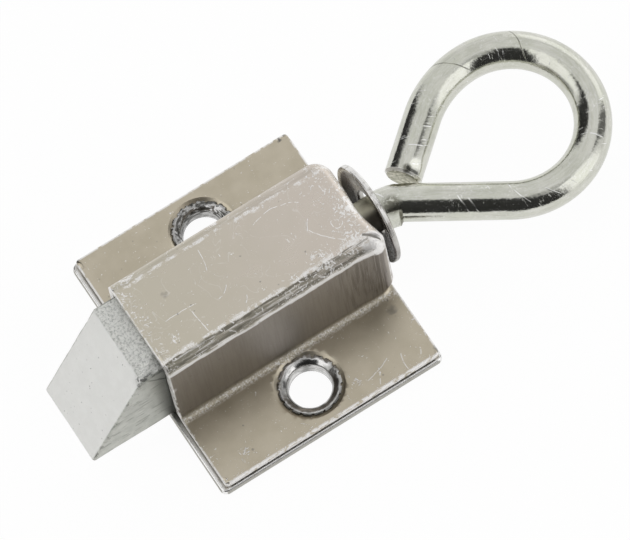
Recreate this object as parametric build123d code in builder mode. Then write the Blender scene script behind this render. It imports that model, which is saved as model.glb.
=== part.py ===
"""Spring loaded gate latch: a bevelled bolt in a pressed case, drawn back by a wire finger ring.

Millimetres. The origin is the centre of the mounting face, on the back of the plate. +Z points away
from the gate, +X points the way the bolt shoots, and Y runs along the line of the two screw holes.
"""

from build123d import *
import os
from math import cos, radians, sin, tan

os.makedirs("parts", exist_ok=True)

# Case: one pressed steel sheet with an open front, a drawn rear wall and two flanges
sheet = 1.5
flange_length = 41.3
flange_width = 47.2
flange_corner = 0.6
box_width = 19.8
case_height = 21.2
wall_draft = 1.5
rear_corner_radius_left = 3.2
rear_corner_radius_right = 2.3
long_bend_radius = 2.2
foot_radius = 0.9
rear_wall_dent = 0.9
rear_wall_dent_radius = 20.5
rear_wall_dent_offset = 2.0
rod_hole_clearance = 0.6

# Back plate: one flat steel sheet
plate_thickness = 1.2
plate_margin_front = 0.9
plate_margin_rear = 0.5
plate_margin_side = 0.5
plate_corner = 1.2
plate_edge_radius = 0.35

# Screw holes: two tubular eyelets, set into a dimple in each flange
hole_edge_distance = 7.1
eyelet_bore_radius = 3.6
eyelet_wall = 0.6
eyelet_seat_clearance = 0.05
eyelet_lip_radius = 5.3
eyelet_head_radius = 5.2
eyelet_head_thickness = 0.55
eyelet_lip_sink = 0.08
eyelet_flare_radius = 1.3
eyelet_cracks = 17
crack_radius = 0.28
crack_depth = 0.55
dimple_lip_margin = 0.6
dimple_depth = 0.9
dimple_standoff = 0.5
dimple_foot_width = 1.05

# Bolt: one zinc casting
bolt_floor_clearance = 0.25
bolt_roof_clearance = 0.35
bolt_side_clearance = 0.25
nose_projection = 16.0
bevel_start = 4.0
bolt_inside_length = 15.5
bolt_edge_radius = 0.45

# Pull ring: one bent wire, from its anchor in the bolt to its cut end
wire_diameter = 6.35
anchor_depth = 11.0
anchor_head_overhang = 1.0
anchor_head_length = 2.0
anchor_clearance = 0.02
bend_behind_case = 6.35
bend_angle = 32.8
bend_radius = 9.0
neck_length = 17.0
loop_radius = 13.5
loop_sweep = 214.9
closing_radius = 17.8
closing_sweep = 38.35
end_gap = 0.15
end_chamfer = 0.5
ear_reach = 0.5
ear_thickness = 3.4
ear_length = 2.8
ear_tip_length = 1.4
ear_corner = 0.2

# Stop washer: thin, dished towards the case, loose on the wire in front of the ears
washer_radius = 9.0
washer_thickness = 1.1
washer_bore_clearance = 0.8
washer_hub_width = 1.2
washer_dish = 1.0
washer_tilt = 4.0
washer_rim_gap = 1.0
washer_ear_gap = 0.15
washer_edge_radius = 0.3
washer_side_play = 0.45

# Spring: one compression coil round the wire, between the rear wall and the bolt
spring_wire = 1.0
spring_rod_clearance = 1.3
spring_turns = 6.0
spring_seat_gap = 0.1

# Places worked out from the sizes above
front_x = flange_length / 2
rear_x = -front_x
flange_bottom = plate_thickness + dimple_standoff
flange_top = flange_bottom + sheet
case_top = flange_bottom + case_height
draft_slope = tan(radians(wall_draft))
roof_half_width = box_width / 2 - sheet - case_height * draft_slope
bolt_width = 2 * (roof_half_width - bolt_side_clearance)
bolt_bottom = plate_thickness + bolt_floor_clearance
bolt_top = case_top - sheet - bolt_roof_clearance
bolt_rear = front_x - bolt_inside_length
nose_x = front_x + nose_projection
bevel_top_x = front_x + bevel_start
rod_z = (bolt_bottom + bolt_top) / 2
rod_radius = wire_diameter / 2
dent_x = rear_x + rear_wall_dent
flange_hole_radius = eyelet_bore_radius + eyelet_wall + eyelet_seat_clearance
dimple_radius = eyelet_lip_radius + dimple_lip_margin
dimple_foot_radius = flange_hole_radius + dimple_foot_width
hole_offset = flange_width / 2 - hole_edge_distance
hole_places = {"left": -hole_offset, "right": hole_offset}


def box_lines(step_in, front, right, left):
    """The box seen from above: straight sides, and a rear wall whose two corners have radii of their own."""
    half = box_width / 2 - step_in
    back = rear_x + step_in
    Line((front, -half), (front, half))
    Line((front, half), (back + right, half))
    CenterArc((back + right, half - right), right, 90, 90)
    Line((back, half - right), (back, left - half))
    CenterArc((back + left, left - half), left, 180, 90)
    Line((back + left, -half), (front, -half))


def draw_box(inset, front, top, bend_radius):
    """The drawn box: walls that lean in by the draft, and a bend round its top that the front lacks."""
    lean = (top - flange_bottom) * draft_slope
    right = rear_corner_radius_right - inset
    left = rear_corner_radius_left - inset
    sections = []
    for height, step_in in ((flange_bottom, inset), (top, inset + lean)):
        with BuildSketch(Plane.XY.offset(height)) as section:
            with BuildLine():
                box_lines(step_in, front, right, left)
            make_face()
        sections.append(section.sketch)
    solid = loft(sections, ruled=True)
    rim = solid.faces().sort_by(Axis.Z)[-1].edges().sort_by(Axis.X)
    fillet(rim[:-1], bend_radius)


def edges_at(edges, height, tolerance=0.01):
    """The edges that lie at one height."""
    return edges.filter_by_position(Axis.Z, height - tolerance, height + tolerance)


# Case: the same drawn form twice, the second one a sheet's thickness inside the first. Its flanges are
# drawn past the rear wall, so that the bend at its foot runs right round, and are then trimmed
rear_overlength = rear_corner_radius_left
with BuildPart() as cavity:
    with BuildSketch(Plane.XY):
        with Locations((sheet / 2 - rear_overlength, 0)):
            Rectangle(flange_length + 2 * rear_overlength + sheet, flange_width + sheet)
    extrude(amount=flange_bottom)
    draw_box(sheet, front_x + sheet, case_top - sheet, long_bend_radius - sheet)
    feet = edges_at(cavity.edges(), flange_bottom).filter_by_position(Axis.Y, -box_width / 2, box_width / 2)
    fillet(feet.sort_by(Axis.X)[1:-1], foot_radius + sheet)
    with BuildSketch(Plane.XY.offset(flange_top)):
        with Locations((dent_x - rear_wall_dent_radius, rear_wall_dent_offset)):
            Circle(rear_wall_dent_radius + sheet)
    extrude(amount=case_height, mode=Mode.SUBTRACT)

with BuildPart() as case:
    with BuildSketch(Plane.XY.offset(flange_bottom)):
        with Locations((-rear_overlength, 0)):
            Rectangle(flange_length + 2 * rear_overlength, flange_width)
    extrude(amount=sheet)
    draw_box(0, front_x, case_top, long_bend_radius)
    feet = edges_at(case.edges(), flange_top).filter_by_position(Axis.Y, -box_width / 2, box_width / 2)
    fillet(feet.sort_by(Axis.X)[1:-1], foot_radius)
    with BuildSketch(Plane.XY.offset(flange_top)):
        with Locations((dent_x - rear_wall_dent_radius, rear_wall_dent_offset)):
            Circle(rear_wall_dent_radius)
    extrude(amount=case_height, mode=Mode.SUBTRACT)
    add(cavity.part, mode=Mode.SUBTRACT)

    split(bisect_by=Plane.YZ.offset(rear_x), keep=Keep.TOP)
    with BuildSketch(Plane.YZ.offset(rear_x)):
        with Locations((0, rod_z)):
            Circle(rod_radius + rod_hole_clearance)
    extrude(amount=sheet + rear_wall_dent + foot_radius, mode=Mode.SUBTRACT)

    for hole_y in hole_places.values():
        with BuildSketch(Plane.YZ) as dimple:
            with BuildLine():
                Polyline(
                    (hole_y, flange_bottom),
                    (hole_y + dimple_foot_radius + dimple_standoff, flange_bottom),
                    (hole_y + dimple_foot_radius, plate_thickness),
                    (hole_y, plate_thickness),
                    close=True,
                )
            make_face()
        revolve(dimple.sketch, axis=Axis((0, hole_y, 0), (0, 0, 1)))
        with BuildSketch(Plane.YZ) as countersink:
            with BuildLine():
                Polyline(
                    (hole_y, flange_top),
                    (hole_y + dimple_radius, flange_top),
                    (hole_y + flange_hole_radius, flange_top - dimple_depth),
                    (hole_y + flange_hole_radius, plate_thickness),
                    (hole_y, plate_thickness),
                    close=True,
                )
            make_face()
        revolve(countersink.sketch, axis=Axis((0, hole_y, 0), (0, 0, 1)), mode=Mode.SUBTRACT)

    corners = case.edges().filter_by(Axis.Z).filter_by_position(Axis.Z, flange_bottom, flange_top)
    fillet(corners.group_by(SortBy.DISTANCE)[-1], flange_corner)

case.part.label = "case"
export_step(case.part, "parts/case.step")

# Back plate
with BuildPart() as back_plate:
    with BuildSketch(Plane.XY):
        with Locations(((plate_margin_front - plate_margin_rear) / 2, 0)):
            RectangleRounded(
                flange_length + plate_margin_front + plate_margin_rear,
                flange_width + 2 * plate_margin_side,
                plate_corner,
            )
        with Locations([(0, hole_y) for hole_y in hole_places.values()]):
            Circle(flange_hole_radius, mode=Mode.SUBTRACT)
    extrude(amount=plate_thickness)
    for hole_y in hole_places.values():
        with BuildSketch(Plane.XY):
            with Locations((0, hole_y)):
                Circle(eyelet_head_radius + eyelet_seat_clearance)
        extrude(amount=eyelet_head_thickness + eyelet_seat_clearance, mode=Mode.SUBTRACT)
    rims = edges_at(back_plate.edges(), plate_thickness).filter_by(GeomType.CIRCLE, reverse=True)
    fillet(rims, plate_edge_radius)

back_plate.part.label = "back_plate"
export_step(back_plate.part, "parts/back_plate.step")

# Eyelets
barrel_radius = eyelet_bore_radius + eyelet_wall
countersink_slope = dimple_depth / (dimple_radius - flange_hole_radius)
barrel_top = flange_top - (dimple_radius - barrel_radius) * countersink_slope + eyelet_seat_clearance
lip_under = flange_top - (dimple_radius - eyelet_lip_radius) * countersink_slope + eyelet_seat_clearance
lip_top = flange_top - eyelet_lip_sink
flare_start = lip_top - eyelet_flare_radius
for side, hole_y in hole_places.items():
    with BuildPart() as eyelet:
        with BuildSketch(Plane.YZ) as section:
            with BuildLine():
                outside = Polyline(
                    (hole_y + eyelet_bore_radius, 0),
                    (hole_y + eyelet_head_radius, 0),
                    (hole_y + eyelet_head_radius, eyelet_head_thickness),
                    (hole_y + barrel_radius, eyelet_head_thickness),
                    (hole_y + barrel_radius, barrel_top),
                    (hole_y + eyelet_lip_radius, lip_under),
                    (hole_y + eyelet_lip_radius, lip_top),
                    (hole_y + eyelet_bore_radius + eyelet_flare_radius, lip_top),
                )
                RadiusArc(outside @ 1, (hole_y + eyelet_bore_radius, flare_start), -eyelet_flare_radius)
                Line((hole_y + eyelet_bore_radius, flare_start), outside @ 0)
            make_face()
        revolve(section.sketch, axis=Axis((0, hole_y, 0), (0, 0, 1)))
        with Locations((0, hole_y, lip_top)):
            with PolarLocations(eyelet_lip_radius, eyelet_cracks):
                Cylinder(crack_radius, 2 * crack_depth, mode=Mode.SUBTRACT)
    eyelet.part.label = f"eyelet_{side}"
    export_step(eyelet.part, f"parts/eyelet_{side}.step")

# Bolt
anchor_head_radius = rod_radius + anchor_head_overhang
with BuildPart() as bolt:
    with BuildSketch(Plane.XZ):
        with BuildLine():
            Polyline(
                (bolt_rear, bolt_bottom),
                (nose_x, bolt_bottom),
                (bevel_top_x, bolt_top),
                (bolt_rear, bolt_top),
                close=True,
            )
        make_face()
    extrude(amount=bolt_width / 2, both=True)
    fillet(bolt.edges(), bolt_edge_radius)
    with BuildSketch(Plane.YZ.offset(bolt_rear)):
        with Locations((0, rod_z)):
            Circle(rod_radius + anchor_clearance)
    extrude(amount=anchor_depth + anchor_clearance, mode=Mode.SUBTRACT)
    with BuildSketch(Plane.YZ.offset(bolt_rear + anchor_depth - anchor_head_length - anchor_clearance)):
        with Locations((0, rod_z)):
            Circle(anchor_head_radius + anchor_clearance)
    extrude(amount=anchor_head_length + 2 * anchor_clearance, mode=Mode.SUBTRACT)

bolt.part.label = "bolt"
export_step(bolt.part, "parts/bolt.step")

# Stop washer: it leans a little on the wire, and the ears on the wire stand close behind its hub
washer_bore_radius = rod_radius + washer_bore_clearance
washer_hub_radius = washer_bore_radius + washer_hub_width
lean_sine = sin(radians(washer_tilt))
lean_cosine = cos(radians(washer_tilt))
washer_x = rear_x - washer_rim_gap - washer_radius * lean_sine
washer_centre = (washer_x, -washer_side_play, rod_z)
washer_side = Plane(origin=washer_centre, x_dir=(-lean_sine, 0, lean_cosine), z_dir=(0, 1, 0))
with BuildPart() as stop_washer:
    with BuildSketch(washer_side) as section:
        with BuildLine():
            Polyline(
                (washer_bore_radius, -washer_dish),
                (washer_hub_radius, -washer_dish),
                (washer_radius, 0),
                (washer_radius, -washer_thickness),
                (washer_hub_radius, -washer_dish - washer_thickness),
                (washer_bore_radius, -washer_dish - washer_thickness),
                close=True,
            )
        make_face()
    revolve(section.sketch, axis=Axis(washer_centre, (lean_cosine, 0, lean_sine)))
    fillet(stop_washer.edges(), washer_edge_radius)

stop_washer.part.label = "stop_washer"
export_step(stop_washer.part, "parts/stop_washer.step")

# Pull ring: the cut end stops just short of the neck
wire_start = bolt_rear + anchor_depth
bend_corner_x = rear_x - bend_behind_case
ear_half_span = rod_radius + ear_reach
ear_front = washer_x - washer_dish - washer_thickness - washer_ear_gap
away_from_neck = Vector(-sin(radians(bend_angle)), -cos(radians(bend_angle)), 0)
with BuildPart() as pull_ring:
    with BuildLine(Plane.XY.offset(rod_z)):
        setback = bend_radius * tan(radians(bend_angle / 2))
        rod = Line((wire_start, 0), (bend_corner_x + setback, 0))
        bend = JernArc(rod @ 1, rod % 1, bend_radius, -bend_angle)
        neck = PolarLine(bend @ 1, neck_length, direction=bend % 1)
        loop = JernArc(neck @ 1, neck % 1, loop_radius, loop_sweep)
        closing = JernArc(loop @ 1, loop % 1, closing_radius, closing_sweep)
        towards_neck = (closing % 1).rotate(Axis.Z, 90)
        rim_start = closing @ 1 + towards_neck * rod_radius
        rim_height = (rim_start - neck @ 0).dot(away_from_neck)
        leg_length = (rim_height - rod_radius - end_gap) / -(closing % 1).dot(away_from_neck)
        leg = PolarLine(closing @ 1, leg_length, direction=closing % 1)
    with BuildSketch(Plane(origin=rod @ 0, z_dir=rod % 0)):
        Circle(rod_radius)
    sweep()
    cut_end = pull_ring.faces().filter_by(GeomType.PLANE).sort_by(Axis.X)[0]
    chamfer(cut_end.edges(), end_chamfer)
    with BuildSketch(Plane.YZ.offset(wire_start)):
        with Locations((0, rod_z)):
            Circle(anchor_head_radius)
    extrude(amount=-anchor_head_length)
    with BuildSketch(Plane.XY.offset(rod_z)):
        with BuildLine():
            Polyline(
                (ear_front, 0),
                (ear_front, ear_half_span),
                (ear_front - ear_tip_length, ear_half_span),
                (ear_front - ear_length, rod_radius),
                (ear_front - ear_length, 0),
                close=True,
            )
        make_face()
        mirror(about=Plane.XZ)
    extrude(amount=ear_thickness / 2, both=True)
    ears = pull_ring.edges().filter_by_position(Axis.X, ear_front - ear_length, ear_front)
    tips = ears.filter_by(lambda edge: abs(edge.center().Y) > rod_radius + ear_corner)
    fillet(tips, ear_corner)

pull_ring.part.label = "pull_ring"
export_step(pull_ring.part, "parts/pull_ring.step")

# Spring
spring_mean_radius = rod_radius + spring_rod_clearance + spring_wire / 2
spring_rear = dent_x + sheet + spring_seat_gap
spring_front = bolt_rear - spring_seat_gap
spring_length = spring_front - spring_rear
with BuildPart() as spring:
    with BuildLine():
        coil = Helix(
            pitch=(spring_length + spring_wire) / spring_turns,
            height=spring_length + spring_wire,
            radius=spring_mean_radius,
            center=(spring_rear - spring_wire / 2, 0, rod_z),
            direction=(1, 0, 0),
        )
    with BuildSketch(Plane(origin=coil @ 0, z_dir=coil % 0)):
        Circle(spring_wire / 2)
    sweep(is_frenet=True)
    split(bisect_by=Plane.YZ.offset(spring_rear), keep=Keep.TOP)
    split(bisect_by=Plane.YZ.offset(spring_front), keep=Keep.BOTTOM)

spring.part.label = "spring"
export_step(spring.part, "parts/spring.step")
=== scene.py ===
import bmesh
import bpy
from math import atan2, cos, exp, pi, radians, sin, tan
from mathutils import Matrix, Vector, noise


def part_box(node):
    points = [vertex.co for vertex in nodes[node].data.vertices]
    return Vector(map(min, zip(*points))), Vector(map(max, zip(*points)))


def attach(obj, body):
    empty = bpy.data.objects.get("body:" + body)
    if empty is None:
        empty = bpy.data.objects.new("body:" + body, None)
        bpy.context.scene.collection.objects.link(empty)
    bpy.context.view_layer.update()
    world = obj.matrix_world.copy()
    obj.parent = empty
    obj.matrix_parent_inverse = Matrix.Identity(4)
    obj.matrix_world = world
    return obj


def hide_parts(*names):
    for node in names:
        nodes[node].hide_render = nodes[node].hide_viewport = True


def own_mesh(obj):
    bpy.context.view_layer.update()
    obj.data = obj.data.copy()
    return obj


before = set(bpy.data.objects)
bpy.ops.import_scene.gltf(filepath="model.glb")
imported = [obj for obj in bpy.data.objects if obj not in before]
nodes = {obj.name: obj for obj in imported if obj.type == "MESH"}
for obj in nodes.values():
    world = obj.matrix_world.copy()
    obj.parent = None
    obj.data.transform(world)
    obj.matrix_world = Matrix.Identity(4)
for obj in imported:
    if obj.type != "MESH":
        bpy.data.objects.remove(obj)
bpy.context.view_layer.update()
mm = 0.001


# Back plate: a flat sheet of zinc plated steel behind the flanges. It closes the case, and the two
# eyelets hold it on. Its edges are painted near white as a highlight, their outer line grey as shade.
class Tint:
    """One socket of a material's nodes. Sums on it add the Math nodes that say the same."""

    def __init__(self, tree, socket):
        self.tree = tree
        self.socket = socket

    def node(self, kind, settings, inputs, output=0):
        """A new node: its settings first, then the values or links of its sockets."""
        made = self.tree.nodes.new(kind)
        for name, setting in settings.items():
            setattr(made, name, setting)
        for name, value in inputs.items():
            if isinstance(value, Tint):
                self.tree.links.new(value.socket, made.inputs[name])
            else:
                made.inputs[name].default_value = value
        return Tint(self.tree, made.outputs[output])

    def math(self, operation, *values, clamp=False):
        settings = {"operation": operation, "use_clamp": clamp}
        return self.node("ShaderNodeMath", settings, dict(enumerate((self, *values))))

    def __add__(self, other):
        return self.math("ADD", other)

    __radd__ = __add__

    def __sub__(self, other):
        return self.math("SUBTRACT", other)

    def __rsub__(self, other):
        return (self * -1) + other

    def __mul__(self, other):
        return self.math("MULTIPLY", other)

    __rmul__ = __mul__

    def __abs__(self):
        return self.math("ABSOLUTE")

    def higher(self, other):
        return self.math("MAXIMUM", other)

    def bearing(self, along):
        """The angle, in degrees, of the direction that rises by this where it runs along by the other."""
        return self.math("ARCTAN2", along) * (180 / pi)

    def off_bearing(self, bearing):
        """Degrees between this angle and a bearing, the short way round."""
        return abs((self - bearing).math("WRAP", 180.0, -180.0))

    def step(self, start, end):
        """0 before start and 1 after end, smoothly between them; start may be the higher."""
        inputs = {"Value": self, "From Min": start, "From Max": end}
        return self.node("ShaderNodeMapRange", {"interpolation_type": "SMOOTHSTEP"}, inputs)

    def axis(self, index):
        return self.node("ShaderNodeSeparateXYZ", {}, {0: self}, output=index)

    def away_from(self, spot):
        """Distance from this place to a spot."""
        return self.node("ShaderNodeVectorMath", {"operation": "DISTANCE"}, {0: self, 1: spot}, output=1)

    def stretched(self, x, y, z):
        """The same place with each axis multiplied, so that a pattern on it runs along the lowest one."""
        return self.node("ShaderNodeVectorMath", {"operation": "MULTIPLY"}, {0: self, 1: (x, y, z)})

    def grain(self, per_mm, detail=2.0, roughness=0.5, distortion=0.0):
        """Cloudy noise from 0 to 1 on this place."""
        inputs = {
            "Vector": self,
            "Scale": per_mm,
            "Detail": detail,
            "Roughness": roughness,
            "Distortion": distortion,
        }
        return self.node("ShaderNodeTexNoise", {}, inputs)

    def swirled(self, per_mm, by):
        """This place, pushed about by up to some millimetres, for lines that wander."""
        inputs = {"Vector": self, "Scale": per_mm, "Detail": 2.0}
        push = self.node("ShaderNodeTexNoise", {}, inputs, output=1)
        scaled = self.node("ShaderNodeVectorMath", {"operation": "SCALE"}, {0: push, "Scale": by})
        return self.node("ShaderNodeVectorMath", {"operation": "ADD"}, {0: self, 1: scaled})

    def scribble(self, per_mm, width, distortion=0.8):
        """1 on thin wandering lines, which are the contours of a cloudy noise."""
        cloud = self.grain(per_mm, detail=1.5, distortion=distortion)
        return abs(cloud - 0.5).step(width, width * 0.4)

    def specks(self, per_mm):
        """Distance to the nearest of scattered points, in cells."""
        return self.node("ShaderNodeTexVoronoi", {}, {"Vector": self, "Scale": per_mm})

    def mix(self, first, second):
        """The first colour where this is 0, the second where it is 1."""
        return self.node("ShaderNodeMix", {"data_type": "RGBA"}, {0: self, 6: first, 7: second}, output=2)


def finish(name):
    """A new material, as the place on its piece in millimetres."""
    material = bpy.data.materials.new(name)
    material.use_nodes = True
    start = Tint(material.node_tree, None)
    return start.node("ShaderNodeTexCoord", {}, {}, output="Object").stretched(1 / mm, 1 / mm, 1 / mm)


def dress(piece, place, colour, roughness, relief, relief_depth, metallic=1.0):
    """Gives a piece its metal. Each value may vary; the relief is a height, its depth in millimetres."""
    shader = place.tree.nodes["Principled BSDF"]
    for name, value in (("Base Color", colour), ("Roughness", roughness), ("Metallic", metallic)):
        if isinstance(value, Tint):
            place.tree.links.new(value.socket, shader.inputs[name])
        else:
            shader.inputs[name].default_value = value
    inputs = {"Strength": 1.0, "Distance": relief_depth * mm, "Height": relief}
    bump = place.node("ShaderNodeBump", {}, inputs)
    place.tree.links.new(bump.socket, shader.inputs["Normal"])
    material = next(each for each in bpy.data.materials if each.node_tree == place.tree)
    piece.data.materials.clear()
    piece.data.materials.append(material)


plate_low, plate_high = (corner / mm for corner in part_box("back_plate"))
plate_place = finish("plate_plating")
plate_clouds = plate_place.grain(0.35, detail=4.0)
plate_middle = (plate_low.x + plate_high.x) / 2
plate_half_length = (plate_high.x - plate_low.x) / 2
plate_rim_x = abs(plate_place.axis(0) - plate_middle).step(plate_half_length - 0.9, plate_half_length - 0.3)
plate_rim_y = abs(plate_place.axis(1)).step(plate_high.y - 0.8, plate_high.y - 0.3)
# The rims of the plate are painted near white, broken by noise: a painted highlight.
plate_rim_highlight = plate_rim_x.higher(plate_rim_y) * (plate_place.grain(0.8).step(0.30, 0.46) * 0.6 + 0.4)
plate_colour = plate_clouds.mix((0.44, 0.42, 0.38, 1), (0.58, 0.56, 0.52, 1))
plate_colour = plate_rim_highlight.mix(plate_colour, (0.96, 0.955, 0.94, 1))
# The outermost line of the plate's edges is painted grey: painted shade.
plate_edge_shade = abs(plate_place.axis(1)).step(plate_high.y - 0.12, plate_high.y - 0.05)
plate_edge_shade = plate_edge_shade.higher(plate_place.axis(0).step(plate_high.x - 0.15, plate_high.x - 0.08))
plate_colour = plate_edge_shade.mix(plate_colour, (0.50, 0.49, 0.445, 1))
plate_rough = 0.34 - plate_rim_highlight * 0.14 + plate_clouds * 0.1 + plate_edge_shade * 0.25
plate_relief = plate_place.grain(6.0, detail=4.0)
dress(nodes["back_plate"], plate_place, plate_colour, plate_rough, plate_relief, 0.006)


# Case: one sheet of steel, drawn into a box with two flanges, then plated in a warm satin nickel tone.
# The drawing left the rear wall bowed in and its right corner pulled out into a lip. Its long bends
# carry painted reflections.
def closed_copy(node):
    """A node's mesh as one closed skin, free to be shaped."""
    bm = bmesh.new()
    bm.from_mesh(nodes[node].data)
    weld_distance = 0.0005
    bmesh.ops.remove_doubles(bm, verts=bm.verts, dist=weld_distance * mm)
    return bm


def dice(bm, step, low=(-100, -100, -100), high=(100, 100, 100)):
    """Cuts what lies in a box of millimetres into cells of about step millimetres."""
    faces = [
        face for face in bm.faces
        if all(low[axis] <= face.calc_center_median()[axis] / mm <= high[axis] for axis in range(3))
    ]
    edges = {edge for face in faces for edge in face.edges}
    verts = {vert for face in faces for vert in face.verts}
    geom = list(verts) + list(edges) + faces
    for axis in range(3):
        reach = [item.co[axis] / mm for item in geom if isinstance(item, bmesh.types.BMVert)]
        first = max(low[axis], min(reach))
        last = min(high[axis], max(reach))
        cuts = round((last - first) / step)
        across = Vector((0, 0, 0))
        across[axis] = 1
        for cut in range(1, cuts):
            spot = across * (first + (last - first) * cut / cuts) * mm
            parted = bmesh.ops.bisect_plane(bm, geom=geom, dist=1e-7, plane_co=spot, plane_no=across)
            geom = parted["geom"]


def ease(value, start, end):
    """0 before start and 1 after end, smoothly between them, as Tint.step does in a material."""
    share = min(max((value - start) / (end - start), 0), 1)
    return share * share * (3 - 2 * share)


def finished(bm, name, node, body, crease=40):
    """Makes a shaped mesh the piece that stands for a node."""
    mesh = bpy.data.meshes.new(name)
    bm.to_mesh(mesh)
    bm.free()
    mesh.shade_smooth()
    mesh.set_sharp_from_angle(angle=radians(crease))
    piece = bpy.data.objects.new(name, mesh)
    bpy.context.collection.objects.link(piece)
    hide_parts(node)
    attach(piece, body)
    return piece


def near(place, spot, far, close):
    """1 within close millimetres of a spot, and 0 from far on."""
    return place.away_from(spot).step(far, close)


def arc(place, height, start, middle, end, width):
    """1 on a thin curved scratch through three places at a height."""
    a, b, c = (Vector(spot) for spot in (start, middle, end))
    twice = 2 * (a.x * (b.y - c.y) + b.x * (c.y - a.y) + c.x * (a.y - b.y))
    centre_x = (a.dot(a) * (b.y - c.y) + b.dot(b) * (c.y - a.y) + c.dot(c) * (a.y - b.y)) / twice
    centre_y = (a.dot(a) * (c.x - b.x) + b.dot(b) * (a.x - c.x) + c.dot(c) * (b.x - a.x)) / twice
    radius = (a - Vector((centre_x, centre_y))).length
    reach = max((a - b).length, (b - c).length)
    on_line = abs(place.away_from((centre_x, centre_y, height)) - radius).step(width, width * 0.3)
    return on_line * near(place, (*b, height), reach, reach * 0.9)


case_low, case_high = (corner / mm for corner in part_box("case"))
case_bm = closed_copy("case")
wall_cell = 1.0
corner_cell = 0.3
corner_low = (case_low.x - 1, 3.5, 18.0)
corner_high = (-16.0, 10.5, 24.0)
dice(case_bm, wall_cell)
dice(case_bm, corner_cell, corner_low, corner_high)
wall_start = 3.3
wave_depth = 0.10
wave_pace = 0.12
flare_back = 0.9
flare_out = 0.45
lip_start = Vector((-18.0, 6.4))
lip_end = Vector((-20.7, 8.5))
lip_height = 0.35
lip_groove = 0.6
lip_width = 0.4
lip_inside = 0.4
groove_outside = 0.25
lip_along = (lip_end - lip_start).normalized()
lip_across = Vector((-lip_along.y, lip_along.x)) * -1
for vert in case_bm.verts:
    x, y, z = vert.co / mm
    at_corner = ease(-x, 14.0, 19.5) * ease(y, 2.5, 8.5) * ease(z, wall_start, 6.0)
    from_lip = Vector((x, y)) - lip_start
    along = from_lip.dot(lip_along)
    beside = from_lip.dot(lip_across)
    on_lip = ease(along, -0.3, 2.2) * ease(z, 19.5, 21.0) * ease(along, 5.0, 3.8)
    raised = lip_height * exp(-(((beside + lip_inside) / lip_width) ** 2))
    sunk = lip_groove * exp(-(((beside - groove_outside) / lip_width) ** 2))
    wave = noise.noise(Vector((x, y, z)) * wave_pace) * wave_depth * ease(z, wall_start, 8.0)
    pull = Vector((-flare_back * at_corner, flare_out * at_corner, on_lip * (raised - sunk) + wave))
    vert.co += pull * mm
case = finished(case_bm, "drawn_case", "case", "housing")

case_place = finish("case_plating")
x, y, z = (case_place.axis(index) for index in range(3))
box_half_width = 9.9
long_bend_radius = 2.2
case_top = case_high.z
foot = 3.2
bend_up = z - (case_top - long_bend_radius)
bend_out = abs(y) - (box_half_width - long_bend_radius - 0.15)
bend_turn = bend_up.bearing(bend_out)
on_bend = bend_up.step(-0.5, 0.1) * bend_out.step(-1.6, -1.1)
high = z.step(foot + 2, case_top - 3)
tone = case_place.grain(0.22, detail=5.0, roughness=0.55)
length_tone = (x + tone * 14).step(-14.0, 26.0)
top_colour = length_tone.mix((0.70, 0.635, 0.565, 1), (0.635, 0.59, 0.49, 1))
# The flanges are painted darker than the top, on top of their own patchy tone: painted shade.
shaded_flange_colour = tone.step(0.3, 0.7).mix((0.55, 0.495, 0.385, 1), (0.63, 0.57, 0.455, 1))
case_colour = high.mix(shaded_flange_colour, top_colour)

# The walls are painted darker as shade. Streaks that the drawing die left down them, deepest near the
# rear corners, and a painted highlight down the rear end of each wall
on_wall = z.step(foot + 0.2, foot + 1.2) * z.step(case_top - 0.8, case_top - 2.2)
streaks = case_place.stretched(1, 1, 0.045).grain(2.4, detail=4.0, roughness=0.65)
rear_streaks = streaks.step(0.38, 0.66) * on_wall * (x.step(-8.0, -17.0) * 0.75 + 0.25)
# The walls are painted darker than the top: painted shade.
case_colour = on_wall.mix(case_colour, (0.375, 0.34, 0.30, 1))
drawn_lines = case_place.stretched(1, 0.3, 0.02).grain(1.5, detail=2.0).step(0.52, 0.60)
rear_streaks = rear_streaks.higher(drawn_lines * x.step(-17.0, -18.2) * on_wall)
case_colour = (rear_streaks * 0.75).mix(case_colour, (0.20, 0.175, 0.15, 1))
# Lighter down the rear end of each wall: a painted highlight on the rounded corner.
case_colour = (x.step(-19.6, -20.4) * on_wall * 0.5).mix(case_colour, (0.62, 0.57, 0.50, 1))

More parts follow.
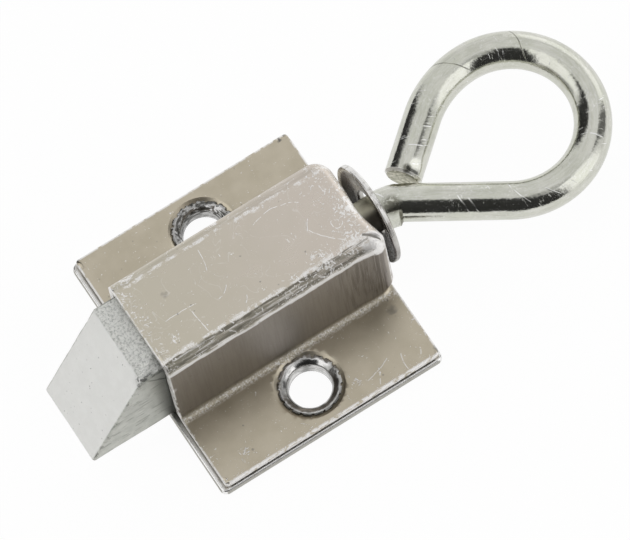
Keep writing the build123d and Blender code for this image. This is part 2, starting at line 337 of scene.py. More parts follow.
# Scratches: crowds of short dashes where the latch was knocked most, faint hairlines, and single curved
# ones, each through three places
patches = case_place.grain(0.17, detail=2.0)
crowds = case_place.grain(0.4, detail=4.0, roughness=0.7)
broken = case_place.grain(1.3, detail=3.0)
grit = case_place.grain(6.0, detail=3.0, roughness=0.8).step(0.36, 0.52)
near_side = y.step(4.0, 8.0) * x.step(4.0, -9.0) * 0.6 + abs(y).step(5.0, 8.4) * 0.5
near_edge = near_side.higher(x.step(-11.0, -19.0)).higher(x.step(15.5, 20.0) * 0.9)
near_edge = near_edge * z.step(case_top - 2.4, case_top - 1.4)
flange_edge = y.step(20.5, 23.6).higher(abs(x).step(18.5, 20.8)) * (1 - high) * y.step(0.0, 5.0)
shaken = case_place.swirled(0.45, 3.0)
knocked = near_edge * 0.5 + flange_edge * 0.25
for spot_x, spot_y, spot_z, reach in (
    (-18.8, -7.2, case_top, 4.0),
    (-19.2, -1.8, case_top, 3.0),
    (-17.5, 2.8, case_top, 4.4),
    (-14.8, 7.0, case_top, 4.0),
    (-8.8, 8.4, case_top, 4.0),
    (-3.5, 8.4, case_top, 2.2),
    (-7.4, 2.0, case_top, 2.6),
    (20.0, -6.8, case_top, 3.0),
    (18.0, 6.4, case_top, 2.4),
    (2.5, -7.6, case_top, 2.0),
    (-11.8, -0.6, case_top, 2.0),
    (17.0, 22.3, foot, 2.8),
    (-4.9, 22.4, foot, 2.6),
    (-10.0, 21.6, foot, 2.2),
    (-15.0, 22.2, foot, 2.0),
    (-20.3, 22.6, foot, 2.2),
):
    knocked = knocked.higher(near(shaken, (spot_x, spot_y, spot_z), reach, reach * 0.25))
dash_one = shaken.stretched(0.45, 1, 1).grain(2.3, detail=3.0, roughness=0.6)
dash_two = shaken.stretched(1, 0.45, 1).grain(2.6, detail=3.0, roughness=0.6)
dashes = (dash_one.higher(dash_two) + knocked * 0.19).step(0.685, 0.715) * (grit * 0.4 + 0.6)
hairlines = case_place.scribble(0.17, 0.0065) * patches.step(0.40, 0.50) * broken.step(0.40, 0.50)
scratches = dashes.higher(hairlines * high * 0.25)
wavering = case_place.swirled(0.5, 0.5)
for start, middle, end in (
    ((-3.9, -4.5), (-6.6, -5.2), (-9.2, -5.1)),
    ((-6.6, -5.2), (-9.2, -5.1), (-12.6, -3.7)),
    ((-12.5, -1.2), (-11.5, 0.0), (-10.8, 1.2)),
    ((-10.9, 1.1), (-12.8, 3.8), (-14.8, 5.8)),
    ((12.4, 0.6), (11.9, 4.1), (11.5, 7.6)),
    ((16.2, 1.8), (13.6, 1.7), (10.6, 2.0)),
    ((5.6, -5.5), (5.8, -3.9), (6.3, -1.9)),
    ((5.0, 1.8), (6.0, 2.8), (7.2, 3.3)),
    ((3.2, 5.0), (3.5, 5.8), (4.1, 6.4)),
    ((-15.0, 1.8), (-14.9, 3.5), (-15.8, 3.6)),
):
    scratch = arc(wavering, case_top, start, middle, end, 0.10) * broken.step(0.40, 0.48)
    scratches = scratches.higher(scratch)
for start, middle, end in (
    ((-12.4, 20.0), (-10.6, 20.8), (-7.9, 21.4)),
    ((-15.1, 20.3), (-14.7, 21.9), (-14.6, 22.8)),
    ((-18.2, 21.2), (-18.05, 21.9), (-17.6, 22.5)),
    ((-10.6, 21.1), (-10.0, 22.2), (-9.4, 23.2)),
):
    scratch = arc(wavering, foot, start, middle, end, 0.13) * broken.step(0.36, 0.44)
    scratches = scratches.higher(scratch * 0.7)
scratches = scratches * (1 - on_wall * 0.9)

# The two long bends carry painted reflections: a broken bright line above, partly wear and partly
# painted highlight, a dark grey band with painted glints and two dark lines of painted reflection, and
# a bright line of painted reflection below. They are strongest on the near bend.
near_bend = y.step(-1.0, 1.0)
streaky = case_place.stretched(0.07, 1, 1).grain(3.0, detail=3.0, roughness=0.55)
long_wander = case_place.stretched(0.35, 1, 1).grain(0.9, detail=4.0, roughness=0.6) - 0.5
band_turn = bend_turn * (1 - x.step(4.0, -18.0) * 0.13) + long_wander * 40
# A dark grey band across each bend: painted reflection, with streaky painted glints in it.
bend_reflection_band = on_bend * band_turn.step(94.0, 84.0) * band_turn.step(16.0, 28.0) * (near_bend * 0.75 + 0.25)
# A bright line low on each bend: painted reflection.
lower_reflection_line = on_bend * band_turn.step(0.0, 8.0) * band_turn.step(34.0, 22.0) * (near_bend * 0.4 + 0.6)
# Two dark lines along each bend: painted reflection, with a slight groove in the relief.
high_groove = abs(band_turn - 80).step(9.0, 3.0)
low_groove = abs(band_turn - 42).step(7.0, 2.0)
bend_shade_lines = on_bend * high_groove.higher(low_groove * 0.7) * near_bend
# A broken bright line along the top of each bend: partly wear, partly painted highlight.
upper_line = on_bend * abs(band_turn - 96).step(11.0, 3.0)
upper_line = upper_line * (crowds + near_bend * 0.07).step(0.46, 0.56) * grit
case_colour = (bend_reflection_band * (streaky.step(0.60, 0.40) * 0.55 + 0.15)).mix(case_colour, (0.25, 0.24, 0.19, 1))
case_colour = (bend_shade_lines * 0.6).mix(case_colour, (0.11, 0.10, 0.08, 1))
bright = (1.0, 0.985, 0.965, 1)
glint = bend_reflection_band * streaky.step(0.57, 0.66) * 0.8
wear_and_highlights = (lower_reflection_line * 0.8).higher(upper_line).higher(scratches).higher(glint)

# Bright edges: a rubbed line at the foot of the box, the rims of the sheet, worn and with a painted
# highlight, and the rubbed pulled corner, with a painted shadow in its crease; then single dark marks
foot_line_y = 10.55
foot_line = abs(abs(y) - foot_line_y).step(0.8, 0.25) * z.step(foot + 1.4, foot + 0.3)
foot_line = foot_line * case_place.grain(3.2, detail=3.0, roughness=0.7).step(0.46, 0.58)
# The rims of the sheet are painted bright: wear, and a painted highlight on their edges.
rim = abs(x).step(20.35, 20.6).higher(abs(y).step(23.25, 23.5))
rim = rim * case_place.grain(0.9, detail=3.0).step(0.34, 0.52)
rough_edge = case_place.swirled(1.5, 1.0)
pulled = near(rough_edge, (-19.2, 9.1, 22.0), 2.4, 1.7)
pulled = pulled.higher(near(rough_edge, (-17.2, 8.6, 22.4), 1.6, 0.6))
wear_and_highlights = wear_and_highlights.higher(foot_line * 0.75).higher(rim).higher(pulled * broken.step(0.28, 0.40))
case_colour = wear_and_highlights.mix(case_colour, bright)
# The crease under the lip is painted dark: a painted shadow.
crease = arc(case_place, case_top, (-18.0, 6.5), (-19.35, 7.5), (-20.6, 8.8), 0.34) * z.step(20.5, 21.5)
case_colour = (crease * 0.8).mix(case_colour, (0.13, 0.12, 0.10, 1))
marks = (1 - near_edge) * case_place.swirled(1.0, 0.6).specks(0.42).step(0.10, 0.05) * 0.5
for spot, far, close, strength in (
    ((-18.5, -22.75, foot), 0.7, 0.45, 0.9),
    ((-20.4, 23.2, foot), 1.0, 0.4, 0.8),
    ((14.55, -2.0, case_top), 1.0, 0.3, 0.45),
    ((-17.7, 13.5, foot), 1.2, 0.5, 0.5),
):
    marks = marks.higher(near(rough_edge, spot, far, close) * strength)
case_colour = marks.mix(case_colour, (0.16, 0.155, 0.15, 1))
case_rough = 0.32 - high * 0.03 + on_wall * 0.2 + wear_and_highlights * 0.1 + bend_reflection_band * 0.1 + (tone - 0.5) * 0.12
case_relief = (
    case_place.grain(5.0, detail=3.0) * 0.25
    + scratches * 0.6 + bend_reflection_band * streaky * 1.6 - bend_shade_lines * 0.8 + rear_streaks * 0.9 + foot_line * 0.9
)
dress(case, case_place, case_colour, case_rough, case_relief, 0.02)


# Eyelets: two short tubes of thin steel, put through the plate and the flanges and rolled outwards. The
# rolling split their lips, the far one badly, and left the sheet round them dished.
def eyelet(node, seed, beating, fold_darkness, ripple, pale, shades):
    """One eyelet: the node's own form, beaten out of round, rippled, and painted with shade in some
    directions.
    """
    low, high = (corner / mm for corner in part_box(node))
    middle = (low + high) / 2
    bm = closed_copy(node)
    lip_cell = 0.45
    dice(bm, lip_cell)
    for vert in bm.verts:
        place = vert.co / mm
        push = noise.noise_vector(place * 0.7 + Vector((seed, 0, 0)))
        push += noise.noise_vector(place * 1.7) * 0.6
        vert.co += push * beating * ease(place.z, 2.0, 3.6) * mm
    piece = finished(bm, "rolled_" + node, node, "housing", crease=60)
    place = finish(node + "_steel")
    out_x = place.axis(0) - middle.x
    out_y = place.axis(1) - middle.y
    lip_radius = 4.4
    around = out_y.math("ARCTAN2", out_x) * lip_radius
    outward = (out_x * out_x + out_y * out_y).math("SQRT")
    rolled = place.node("ShaderNodeCombineXYZ", {}, {0: around, 1: outward, 2: place.axis(2)})
    folds = rolled.stretched(0.30, 1, 1).grain(1.3, detail=3.0, roughness=0.5, distortion=0.4)
    rolled_patches = rolled.stretched(0.5, 1, 1).grain(0.8, detail=3.0, roughness=0.6)
    # Darker along the folds of the rolled lip.
    dark = folds.step(fold_darkness, fold_darkness - 0.07) * 0.85
    turn = out_y.bearing(out_x)
    # A dark ring round the outer edge of the lip, patchy and strongest on the lower side: painted shadow of
    # the lip.
    lip_shadow_side = turn.off_bearing(60).step(85.0, 60.0)
    dark = dark.higher(outward.step(4.85, 5.1) * (rolled_patches.step(0.42, 0.52) * 0.4 + lip_shadow_side * 0.5))
    # The throat of the bore is painted dark: painted shade.
    throat_shade = outward.step(3.95, 3.7) * place.axis(2).step(3.1, 3.5)
    dull = (0.56 * pale, 0.555 * pale, 0.535 * pale, 1)
    shiny = (pale, 0.99 * pale, 0.975 * pale, 1)
    colour = rolled_patches.step(0.35, 0.6).mix(dull, shiny)
    # Dark sectors of the lip's inner slope at the given bearings: painted shade.
    for direction, half_width, depth in shades:
        shade = turn.off_bearing(direction).step(half_width + 12, half_width - 12)
        colour = (shade * depth * outward.step(5.0, 4.7)).mix(colour, (0.13, 0.13, 0.12, 1))
    colour = dark.higher(throat_shade * 0.45).mix(colour, (0.085, 0.083, 0.075, 1))
    dress(piece, place, colour, 0.14 + dark * 0.25 + rolled_patches * 0.08, folds, ripple)


# A fixed seed, so that each run beats the lips in the same way
noise.seed_set(7)
eyelet("eyelet_right", 3.0, 0.06, 0.36, 0.05, 0.80, ((-8, 42, 0.6), (150, 40, 0.45), (-112, 14, 0.6)))
eyelet("eyelet_left", 11.0, 0.32, 0.48, 0.20, 0.62, ((-60, 60, 0.35),))


# Spring: a compression coil of hard drawn wire round the rod. Its rear end stands on the rear wall of
# the case, and its front end pushes the bolt out.
spring_low, spring_high = (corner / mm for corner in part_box("spring"))
spring_wire = 1.0
spring_turns = 6
turn_steps = 32
spring_length = spring_high.x - spring_low.x
spring_radius = (spring_high.z - spring_low.z - spring_wire) / 2
rod_height = (spring_high.z + spring_low.z) / 2
spring_bm = bmesh.new()
bmesh.ops.create_circle(spring_bm, cap_ends=False, segments=12, radius=spring_wire / 2 * mm)
bmesh.ops.transform(
    spring_bm, verts=spring_bm.verts,
    matrix=Matrix.Translation(Vector((spring_low.x + spring_wire / 2, 0, rod_height + spring_radius)) * mm),
)
coil_steps = spring_turns * turn_steps
bmesh.ops.spin(
    spring_bm, geom=spring_bm.edges[:], cent=(0, 0, rod_height * mm), axis=(1, 0, 0),
    angle=2 * pi * spring_turns, dvec=((spring_length - spring_wire) / coil_steps * mm, 0, 0),
    steps=coil_steps,
)
bmesh.ops.holes_fill(spring_bm, edges=[edge for edge in spring_bm.edges if edge.is_boundary])
bmesh.ops.recalc_face_normals(spring_bm, faces=spring_bm.faces)
spring = finished(spring_bm, "coil_spring", "spring", "housing")
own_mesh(spring)
spring_place = finish("spring_wire")
spring_tone = spring_place.grain(0.8, detail=3.0)
spring_colour = spring_tone.mix((0.34, 0.34, 0.33, 1), (0.55, 0.54, 0.52, 1))
dress(spring, spring_place, spring_colour, 0.28, spring_tone, 0.01)


# Bolt: a zinc casting with a sloping nose, left as it came from the die. Its top is grainy, its slope is
# smooth and painted near white as a highlight, its sides are painted darker towards the case as shade,
# and it was chipped where slope, top and side meet.
bolt_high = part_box("bolt")[1] / mm
bolt_bm = closed_copy("bolt")
case_mouth = 20.0
nose_cell = 0.5
dice(bolt_bm, nose_cell, (case_mouth, -20, -5), (60, 20, 30))
bolt_bm.normal_update()
slope_way = Vector((0.853, 0, 0.522))
flat_ways = (Vector((0, 0, 1)), Vector((0, 1, 0)), slope_way, Vector((1, 0, 0)))
chip_corner = Vector((24.9, 7.5, 20.9))
moves = []
for vert in bolt_bm.verts:
    place = vert.co / mm
    off_flat = 1 - max(abs(vert.normal.dot(way)) for way in flat_ways)
    chips = max(noise.noise(place * 1.1) + 0.35 * noise.noise(place * 3.1) - 0.12, 0)
    chipped = ease((place - chip_corner).length, 2.2, 0.6) * (0.25 + noise.noise(place * 1.9))
    depth = ease(off_flat, 0.01, 0.15) * chips * 0.8 + max(chipped, 0) * 0.7
    depth += noise.noise(place * 0.35) * 0.05
    moves.append((vert, vert.normal * -depth * ease(place.x, case_mouth, 21.5) * mm))
for vert, move in moves:
    vert.co += move
bolt = finished(bolt_bm, "cast_bolt", "bolt", "draw_bolt")

bolt_place = finish("bolt_zinc")
x, y, z = (bolt_place.axis(index) for index in range(3))
edge_wander = (bolt_place.grain(1.6, detail=4.0, roughness=0.7) - 0.5) * 0.5
side = (abs(y) + edge_wander * 0.6).step(bolt_high.y - 0.45, bolt_high.y - 0.15)
top = (z + edge_wander).step(bolt_high.z - 0.45, bolt_high.z - 0.15) * x.step(24.9, 24.5)
fine_grain = bolt_place.grain(3.2, detail=4.0, roughness=0.75)
mottle = bolt_place.grain(0.5, detail=5.0, roughness=0.6)
coarse_grain = bolt_place.grain(2.0, detail=3.0, roughness=0.8)
pits = bolt_place.swirled(1.0, 0.5).specks(0.95).step(0.17, 0.08) * mottle.step(0.46, 0.6)
# The slope is painted near white: a painted highlight.
slope_highlight_colour = mottle.step(0.35, 0.7).mix((0.955, 0.955, 0.925, 1), (1.0, 1.0, 0.97, 1))
top_colour = coarse_grain.step(0.34, 0.58).mix((0.57, 0.58, 0.55, 1), (0.96, 0.965, 0.93, 1))
drag = bolt_place.stretched(0.10, 1, 1).grain(1.7, detail=4.0, roughness=0.6)
dragged = drag.step(0.54, 0.61) * bolt_place.grain(0.6, detail=2.0).step(0.42, 0.54)
corner_edge = y.step(6.5, 7.2) * z.step(20.0, 20.6) * x.step(25.4, 24.8)
corner_edge = corner_edge.higher(near(bolt_place, chip_corner, 1.8, 0.9))
chip_grain = bolt_place.stretched(0.6, 1, 1).grain(1.5, detail=4.0, roughness=0.6)
chipped_dark = corner_edge * chip_grain.step(0.48, 0.55)
side_colour = mottle.step(0.3, 0.7).mix((0.60, 0.61, 0.555, 1), (0.74, 0.745, 0.69, 1))
side_colour = (dragged * 0.55).mix(side_colour, (0.24, 0.25, 0.21, 1))
# The sides are painted darker towards the case, and strongly near its mouth: painted shade.
side_colour = (x.step(26.5, 22.0) * 0.4).mix(side_colour, (0.30, 0.31, 0.27, 1))
side_colour = (x.step(23.6, 20.9) * 0.75).mix(side_colour, (0.11, 0.115, 0.10, 1))
bolt_colour = top.mix(slope_highlight_colour, top_colour)
bolt_colour = side.mix(bolt_colour, side_colour)
bolt_colour = (pits * 0.7).mix(bolt_colour, (0.32, 0.32, 0.30, 1))
bolt_colour = (chipped_dark * 0.85).mix(bolt_colour, (0.12, 0.12, 0.11, 1))
bolt_relief = (
    fine_grain * (side * 0.5 + 0.18) + coarse_grain * top * 2.6
    - dragged * side * 1.6 - pits * 1.2 - chipped_dark * 3.0
)
dress(bolt, bolt_place, bolt_colour, 0.5 - side * 0.04 + top * 0.05, bolt_relief, 0.045, metallic=0.6)


# Pull ring: one length of bright zinc plated wire, bent into a ring, with a headed end in the bolt. Two
# ears are pinched out of it to stop the washer, and its other end is sheared off just short of the neck.
ring_segments = 48
wire_diameter = 6.35
wire_radius = wire_diameter / 2
anchor_end = 16.15
anchor_head_radius = wire_radius + 1.0
anchor_head_length = 2.0
bend_corner = case_low.x - wire_diameter
bend_angle = radians(32.8)
bend_radius = 9.0
neck_length = 17.0
loop_radius = 13.5
loop_sweep = radians(214.9)
closing_radius = 17.8
closing_sweep = radians(38.35)
end_gap = 0.15
end_chamfer = 0.5
washer_low, washer_high = (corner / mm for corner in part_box("stop_washer"))
ear_front = washer_low.x - 0.15
ear_length = 3.6
ear_rise = radians(5)
ear_spread = 0.5
facet_rise = radians(29)
facet_depth = 0.22
end_scoop = Vector((-33.1, -1.9, 14.0))
ring_bm = bmesh.new()
facing = Matrix.Rotation(radians(90), 4, "Y")
laid = {}


def heading(angle):
    return Vector((cos(angle), sin(angle), 0))


def left_of(way):
    return Vector((-way.y, way.x, 0))


def lengthen(edges, begin, way, along, distance, steps):
    """Draws the open end of the wire straight on, and returns its new open edges."""
    for _ in range(steps):
        grown = bmesh.ops.extrude_edge_only(ring_bm, edges=edges)["geom"]
        tips = {item for item in grown if isinstance(item, bmesh.types.BMVert)}
        edges = [
            item for item in grown
            if isinstance(item, bmesh.types.BMEdge) and item.verts[0] in tips and item.verts[1] in tips
        ]
        bmesh.ops.translate(ring_bm, verts=list(tips), vec=way * distance / steps * mm)
    for vert in ring_bm.verts:
        if vert not in laid:
            past = (vert.co / mm - begin).dot(way)
            laid[vert] = (along + past, begin + way * past, left_of(way))
    return edges


def bend(edges, begin, way, along, radius, sweep, steps):
    """Turns the open end of the wire, leftwards on a positive sweep, and returns its new open edges."""
    side = 1 if sweep > 0 else -1
    centre = begin + left_of(way) * radius * side
    spun = bmesh.ops.spin(
        ring_bm, geom=edges, cent=centre * mm, axis=(0, 0, 1), angle=sweep, steps=steps,
        use_duplicate=False,
    )
    first = begin - centre
    for vert in ring_bm.verts:
        if vert not in laid:
            spoke = (vert.co / mm - centre).xy.to_3d().normalized()
            turned = atan2(first.cross(spoke).z, first.dot(spoke)) * side % (2 * pi)
            laid[vert] = (along + turned * radius, centre + spoke * radius, -spoke * side)
    return [item for item in spun["geom_last"] if isinstance(item, bmesh.types.BMEdge)]


begin = Vector((anchor_end - anchor_head_length, 0, rod_height))
ear_along = begin.x - ear_front
bmesh.ops.create_circle(ring_bm, segments=ring_segments, radius=wire_radius * mm)
bmesh.ops.transform(ring_bm, verts=ring_bm.verts, matrix=Matrix.Translation(begin * mm) @ facing)
for vert in ring_bm.verts:
    laid[vert] = (0, begin, left_of(heading(pi)))
rod_length = begin.x - (bend_corner + bend_radius * tan(bend_angle / 2))
angle = pi
along = 0
open_end = ring_bm.edges[:]
route = (
    ("straight", rod_length, 0, 60),
    ("bend", bend_radius, -bend_angle, 24),
    ("straight", neck_length, 0, 8),
    ("bend", loop_radius, loop_sweep, 90),
    ("bend", closing_radius, closing_sweep, 16),
)
for shape, size, sweep, steps in route:
    way = heading(angle)
    if shape == "straight":
        open_end = lengthen(open_end, begin, way, along, size, steps)
        begin = begin + way * size
        along += size
        if size == neck_length:
            neck_start = begin - way * size
            away = -left_of(way)
    else:
        open_end = bend(open_end, begin, way, along, size, sweep, steps)
        centre = begin + left_of(way) * (size if sweep > 0 else -size)
        begin = centre + Matrix.Rotation(sweep, 3, "Z") @ (begin - centre)
        angle += sweep
        along += abs(sweep) * size
way = heading(angle)
rim_height = (begin + left_of(way) * wire_radius - neck_start).dot(-away)
leg_length = (abs(rim_height) - wire_radius - end_gap) / abs(way.dot(away))
open_end = lengthen(open_end, begin, way, along, leg_length - end_chamfer, 24)
leg_end = begin + way * leg_length
open_end = lengthen(open_end, begin, way, along, end_chamfer, 1)
rim = list({vert for edge in open_end for vert in edge.verts})
taper = 1 - end_chamfer / wire_radius
bmesh.ops.scale(ring_bm, verts=rim, vec=(taper, taper, taper), space=Matrix.Translation(-leg_end * mm))

# Two ears pinched out of the rod behind the washer: the near one large, with a facet where the tool
# pressed, the far one slight. Near its sheared end the wire was dented by the cutter.
for vert, (past, middle, left) in laid.items():
    radial = vert.co / mm - middle
    if radial.length < wire_radius * 0.9:
        continue
    dent = 0.4 * exp(-(((vert.co / mm - end_scoop).length / 1.1) ** 2))
    window = ease(past, ear_along - 0.3, ear_along + 0.2)
    window *= ease(past, ear_along + ear_length, ear_along + 2.9)
    around = atan2(radial.z, -radial.dot(left))
    swell = 0
    for ear_centre, ear_reach in ((ear_rise, 0.95), (ear_rise - pi, 0.25)):
        off = (around - ear_centre + pi) % (2 * pi) - pi
        swell += ear_reach * exp(-((off / ear_spread) ** 2))
    if abs(around - facet_rise) < radians(60):
        swell = min(swell, (wire_radius - facet_depth) / cos(around - facet_rise) - wire_radius)
    vert.co += radial.normalized() * (swell * window - dent) * mm
bmesh.ops.holes_fill(ring_bm, edges=[edge for edge in ring_bm.edges if edge.is_boundary])
wire_map = ring_bm.loops.layers.uv.new("along_wire")
wire_girth = 2 * pi * wire_radius
for face in ring_bm.faces:
    turns = []
    for loop in face.loops:
        past, middle, left = laid[loop.vert]
        sideways = (loop.vert.co / mm - middle).dot(left)
        turns.append(atan2(sideways, loop.vert.co.z / mm - rod_height) / (2 * pi))
    wraps = max(turns) - min(turns) > 0.5
    for loop, turn in zip(face.loops, turns):
        whole_turn = turn + 1 if wraps and turn < 0 else turn
        loop[wire_map].uv = (laid[loop.vert][0] * mm, whole_turn * wire_girth * mm)
bmesh.ops.create_cone(
    ring_bm, cap_ends=True, segments=ring_segments, radius1=anchor_head_radius * mm,
    radius2=anchor_head_radius * mm, depth=anchor_head_length * mm,
    matrix=Matrix.Translation(Vector((anchor_end - anchor_head_length / 2, 0, rod_height)) * mm) @ facing,
)
bmesh.ops.recalc_face_normals(ring_bm, faces=ring_bm.faces)
ring = finished(ring_bm, "bent_pull_ring", "pull_ring", "draw_bolt")

# The wire's finish is laid along it: die lines run with it, and marks of the bending tool across it
wire_place = finish("wire_zinc")
x, y, z = (wire_place.axis(index) for index in range(3))
unrolled = wire_place.node("ShaderNodeUVMap", {"uv_map": "along_wire"}, {})
unrolled = unrolled.stretched(1 / mm, 1 / mm, 1 / mm)
u, v = unrolled.axis(0), unrolled.axis(1)
wire_tone = wire_place.grain(0.25, detail=3.0)
tool_marks = unrolled.swirled(0.5, 0.25).stretched(1, 0.16, 0).grain(1.7, detail=5.0, roughness=0.85)
marked_parts = unrolled.stretched(0.5, 1, 0).grain(0.33, detail=2.0).step(0.46, 0.60)
tool_marks = tool_marks.step(0.60, 0.68) * marked_parts
die_lines = unrolled.stretched(0.05, 1, 0).grain(2.6, detail=3.0, roughness=0.7)
slanted = wire_place.node("ShaderNodeCombineXYZ", {}, {0: u + v * 0.45, 1: v * 0.09})
scratched_parts = unrolled.grain(0.45, detail=3.0).step(0.46, 0.56)
wire_scratch = slanted.grain(2.3, detail=2.0).step(0.65, 0.70) * scratched_parts
wire_scratch = wire_scratch.higher(tool_marks * 0.8)
for start, slant, inner, outer in (
    (51.8, -0.67, -3.3, 0.0),
    (53.3, -0.67, -3.1, -0.6),
    (61.7, -0.92, -2.2, 0.7),
    (66.0, -0.80, -2.6, -0.2),
    (78.7, 0.0, -2.3, 0.3),
    (104.5, -0.1, 1.2, 3.4),
    (105.5, -0.1, 1.4, 3.2),
    (107.3, -0.1, 1.3, 2.6),
    (126.2, -0.4, 1.0, 2.8),
    (129.6, -0.3, -0.4, 2.4),
):
    scratch = abs(u - start - v * slant).step(0.14, 0.04)
    scratch = scratch * v.step(inner, inner + 0.4) * v.step(outer, outer - 0.4)
    wire_scratch = wire_scratch.higher(scratch)
tool_line = abs(u - 101.5 + v * 0.57).step(0.14, 0.05) * v.step(-3.4, -2.8) * v.step(3.2, 2.8)
second_line = abs(u - 113.4 + v * 0.68).step(0.14, 0.05) * v.step(-4.6, -4.0) * v.step(2.6, 2.2)
tool_line = tool_line.higher(second_line)
cloud = unrolled.stretched(0.30, 1, 0).grain(0.9, detail=5.0, roughness=0.72)
wire_haze = unrolled.stretched(0.6, 1, 0).grain(2.2, detail=4.0, roughness=0.8).step(0.50, 0.68)
wire_haze = wire_haze * unrolled.grain(0.22, detail=3.0).step(0.38, 0.58)
soil_grain = wire_place.grain(1.1, detail=4.0, roughness=0.7)
soiled = near(wire_place, (-26.3, 1.5, 14.1), 2.3, 0.9) * soil_grain.step(0.36, 0.48)
# A dark line round the near ear's facet: painted shade where the ear stands out of the wire.
ear_shade_outline = abs(u - (ear_along + ear_length - 0.4)).step(0.6, 0.2)
ear_shade_outline = ear_shade_outline * v.step(-2.2, -3.0) * v.step(-7.0, -6.0)
in_gap = x.step(-24.6, -23.6) * x.step(-18.5, -20.0)
wire_colour = wire_tone.step(0.3, 0.7).mix((0.64, 0.65, 0.565, 1), (0.715, 0.715, 0.645, 1))
wire_colour = (cloud.step(0.60, 0.36) * 0.30).mix(wire_colour, (0.42, 0.42, 0.37, 1))
wire_colour = (die_lines.step(0.45, 0.65) * 0.30).mix(wire_colour, (0.80, 0.80, 0.77, 1))
wire_colour = (wire_haze * 0.65).mix(wire_colour, (0.90, 0.90, 0.87, 1))
wire_colour = wire_scratch.mix(wire_colour, (0.93, 0.93, 0.92, 1))
# Dark on the soiled patch and the tool lines, and painted shade round the ear.
wire_dirt_and_shade = (soiled * 0.75).higher(ear_shade_outline * 0.7).higher(tool_line * 0.55)
wire_colour = wire_dirt_and_shade.mix(wire_colour, (0.12, 0.115, 0.075, 1))
# The rod between the rear wall and the washer is painted olive and, on its near side, dark: painted shade
# of the washer and case.
gap_shade_colour = y.step(-0.3, 1.6).mix((0.62, 0.60, 0.48, 1), (0.15, 0.14, 0.12, 1))
wire_colour = in_gap.mix(wire_colour, gap_shade_colour)
to_end = wire_place.node("ShaderNodeVectorMath", {"operation": "SUBTRACT"}, {0: wire_place, 1: leg_end})
to_end = to_end.node("ShaderNodeVectorMath", {"operation": "DOT_PRODUCT"}, {0: to_end, 1: way}, output=1)
at_end = near(wire_place, leg_end, wire_radius + 0.6, wire_radius + 0.3)
sheared = to_end.step(-0.12, -0.04) * at_end
# A bright broken ring on the chamfer of the cut end: painted highlight.
chamfer_highlight = to_end.step(-0.62, -0.50) * at_end * (1 - sheared)
sheared_tone = wire_place.grain(1.4, detail=4.0, roughness=0.7)
sheared_colour = sheared_tone.step(0.35, 0.65).mix((0.36, 0.36, 0.27, 1), (0.80, 0.78, 0.66, 1))
wire_colour = sheared.mix(wire_colour, sheared_colour)
wire_colour = (chamfer_highlight * sheared_tone.step(0.40, 0.46)).mix(wire_colour, (0.97, 0.96, 0.92, 1))
# A dark patch beside the dent near the cut end: painted shade.
cut_dent_shade = near(wire_place, (-31.9, -2.7, 14.0), 1.0, 0.5) * sheared_tone.step(0.38, 0.46)
wire_colour = (cut_dent_shade * 0.8).mix(wire_colour, (0.12, 0.115, 0.085, 1))
wire_rough = (
    0.11 + wire_tone * 0.05 + wire_haze * 0.16 + soiled * 0.15
    + sheared * 0.25 + chamfer_highlight * 0.3 + in_gap * 0.3
)
wire_relief = (
    wire_place.grain(0.7, detail=4.0, roughness=0.55) * 2.2 + die_lines * 0.25 + wire_scratch * 0.8
    + cloud * 0.5 - tool_line * 1.5 + sheared_tone * sheared * 3.0
)
dress(ring, wire_place, wire_colour, wire_rough, wire_relief, 0.02)


# Stop washer: a thin dished washer of plated steel, loose on the rod between the case and the ears. Its
# hollow side towards the case is painted dark as shade, darkest low down, and its rim near white as a
# painted highlight.
washer_place = finish("washer_zinc")
x, y, z = (washer_place.axis(index) for index in range(3))
washer_tone = washer_place.grain(0.6, detail=5.0, roughness=0.65)
from_rod = (y * y + (z - rod_height) * (z - rod_height)).math("SQRT")
lean = (z - rod_height) * -tan(radians(4.0))
depth = x - (washer_high.x + washer_low.x) / 2 + lean
hollow = depth.step(-0.45, 0.25) * from_rod.step(8.7, 8.3)
washer_rim_highlight = from_rod.step(8.55, 8.85)
washer_colour = washer_tone.step(0.35, 0.65).mix((0.48, 0.46, 0.43, 1), (0.64, 0.63, 0.60, 1))
# The hollow side is painted dark, darkest low down near the rod: painted shade.
hollow_shade = (z + washer_tone * 4).step(11.0, 18.0).mix((0.025, 0.023, 0.02, 1), (0.15, 0.12, 0.125, 1))
washer_colour = hollow.mix(washer_colour, hollow_shade)
# The rim is painted near white in patches: a painted highlight.
washer_colour = (washer_rim_highlight * washer_tone.step(0.36, 0.5)).mix(washer_colour, (0.88, 0.87, 0.85, 1))
dress(nodes["stop_washer"], washer_place, washer_colour, 0.2 + washer_tone * 0.15, washer_tone, 0.03)


# Studio: a pale floor, and a tent of soft white panels with dark gaps between them, as the plated wire
# mirrors them. Each panel is given by its middle, half its width, its lowest and highest angle, and its
# brightness.
def panel(level, azimuth, elevation, middle, half_width, low, high, brightness, softness=3.0):
    """Lays one panel over a level: angles in degrees, seen from the object."""
    across = azimuth.off_bearing(middle).step(half_width + softness, half_width - softness)
    up = elevation.step(low - softness, low + softness) * elevation.step(high + softness, high - softness)
    cover = across * up
    return level * (1 - cover) + cover * brightness


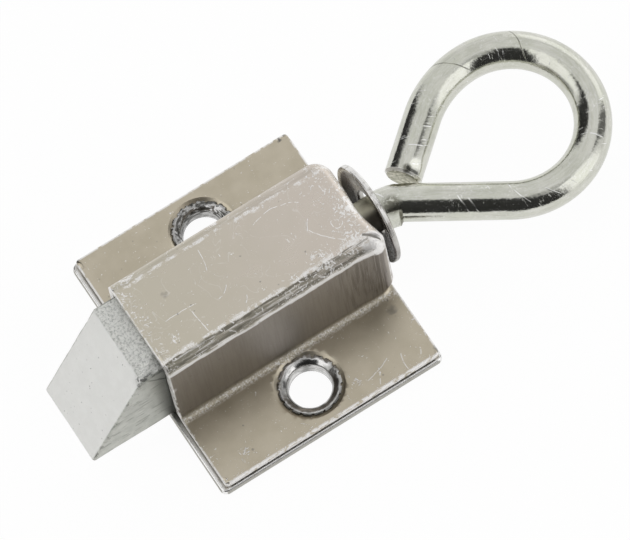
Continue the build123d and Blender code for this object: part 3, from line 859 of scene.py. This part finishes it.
world = bpy.data.worlds.new("studio")
bpy.context.scene.world = world
world.use_nodes = True
sky = world.node_tree
background = sky.nodes["Background"]
sky_start = Tint(sky, None)
ray = sky_start.node("ShaderNodeTexCoord", {}, {}, output="Generated")
azimuth = ray.axis(1).bearing(ray.axis(0))
elevation = ray.axis(2).math("ARCSINE") * (180 / pi)
between_panels = 0.78
level = elevation * 0 + between_panels
for middle, half_width, low, high, brightness in (
    (-152, 30, -20, 27, 1.15),
    (-6, 30, 17, 77, 1.10),
    (-5, 28, -20, 12, 0.40),
    (-62, 18, -20, 62, 0.03),
    (127, 19, -20, 64, 1.20),
    (169, 11, 8, 52, 0.15),
    (64, 40, -20, 80, 0.035),
    (112, 26, 62, 80, 0.50),
):
    level = panel(level, azimuth, elevation, middle, half_width, low, high, brightness)
camera_ray = sky_start.node("ShaderNodeLightPath", {}, {}, output="Is Camera Ray")
strength = level * (1 - camera_ray) + camera_ray
background.inputs["Color"].default_value = (1.0, 1.0, 1.0, 1)
sky.links.new(strength.socket, background.inputs["Strength"])

floor_reach = 2.0
floor_drop = 0.1
floor_bm = bmesh.new()
bmesh.ops.create_grid(floor_bm, x_segments=1, y_segments=1, size=floor_reach)
bmesh.ops.translate(floor_bm, verts=floor_bm.verts, vec=(0, 0, -floor_drop * mm))
floor_mesh = bpy.data.meshes.new("floor")
floor_bm.to_mesh(floor_mesh)
floor_bm.free()
floor = bpy.data.objects.new("floor", floor_mesh)
bpy.context.collection.objects.link(floor)
floor_paint = bpy.data.materials.new("floor_paint")
floor_paint.use_nodes = True
paint = floor_paint.node_tree
floor_shader = paint.nodes["Principled BSDF"]
floor_shader.inputs["Base Color"].default_value = (0.9, 0.9, 0.9, 1)
floor_shader.inputs["Roughness"].default_value = 0.9
floor_shader.inputs["Specular IOR Level"].default_value = 0.0
matt = Tint(paint, floor_shader.outputs[0])
glow = matt.node("ShaderNodeEmission", {}, {"Strength": 1.03})
seen = matt.node("ShaderNodeLightPath", {}, {}, output="Is Camera Ray")
mirrored = matt.node("ShaderNodeLightPath", {}, {}, output="Is Glossy Ray")
share = seen * 0.92 + mirrored * 0.74
blend = matt.node("ShaderNodeMixShader", {}, {0: share, 1: matt, 2: glow})
paint.links.new(blend.socket, paint.nodes["Material Output"].inputs["Surface"])
floor_mesh.materials.append(floor_paint)

# Camera: a long lens, high above the ring's side of the latch, as the photograph was taken
camera_azimuth = radians(67.332)
camera_elevation = radians(67.636)
camera_roll = radians(-10.506)
camera_distance = 818.655 * mm
camera_target = Vector((-12.036, -1.277, 0)) * mm
focal_pixels = 4949.886
photo_width = 630
towards_camera = Vector((
    cos(camera_elevation) * cos(camera_azimuth),
    cos(camera_elevation) * sin(camera_azimuth),
    sin(camera_elevation),
))
camera = bpy.data.objects.new("camera", bpy.data.cameras.new("camera"))
bpy.context.collection.objects.link(camera)
turn = towards_camera.to_track_quat("Z", "Y").to_matrix() @ Matrix.Rotation(camera_roll, 3, "Z")
camera.matrix_world = Matrix.Translation(camera_target + camera_distance * towards_camera) @ turn.to_4x4()
camera.data.sensor_width = 36
camera.data.lens = focal_pixels / photo_width * camera.data.sensor_width
bpy.context.scene.camera = camera
bpy.context.scene.view_settings.view_transform = "Standard"
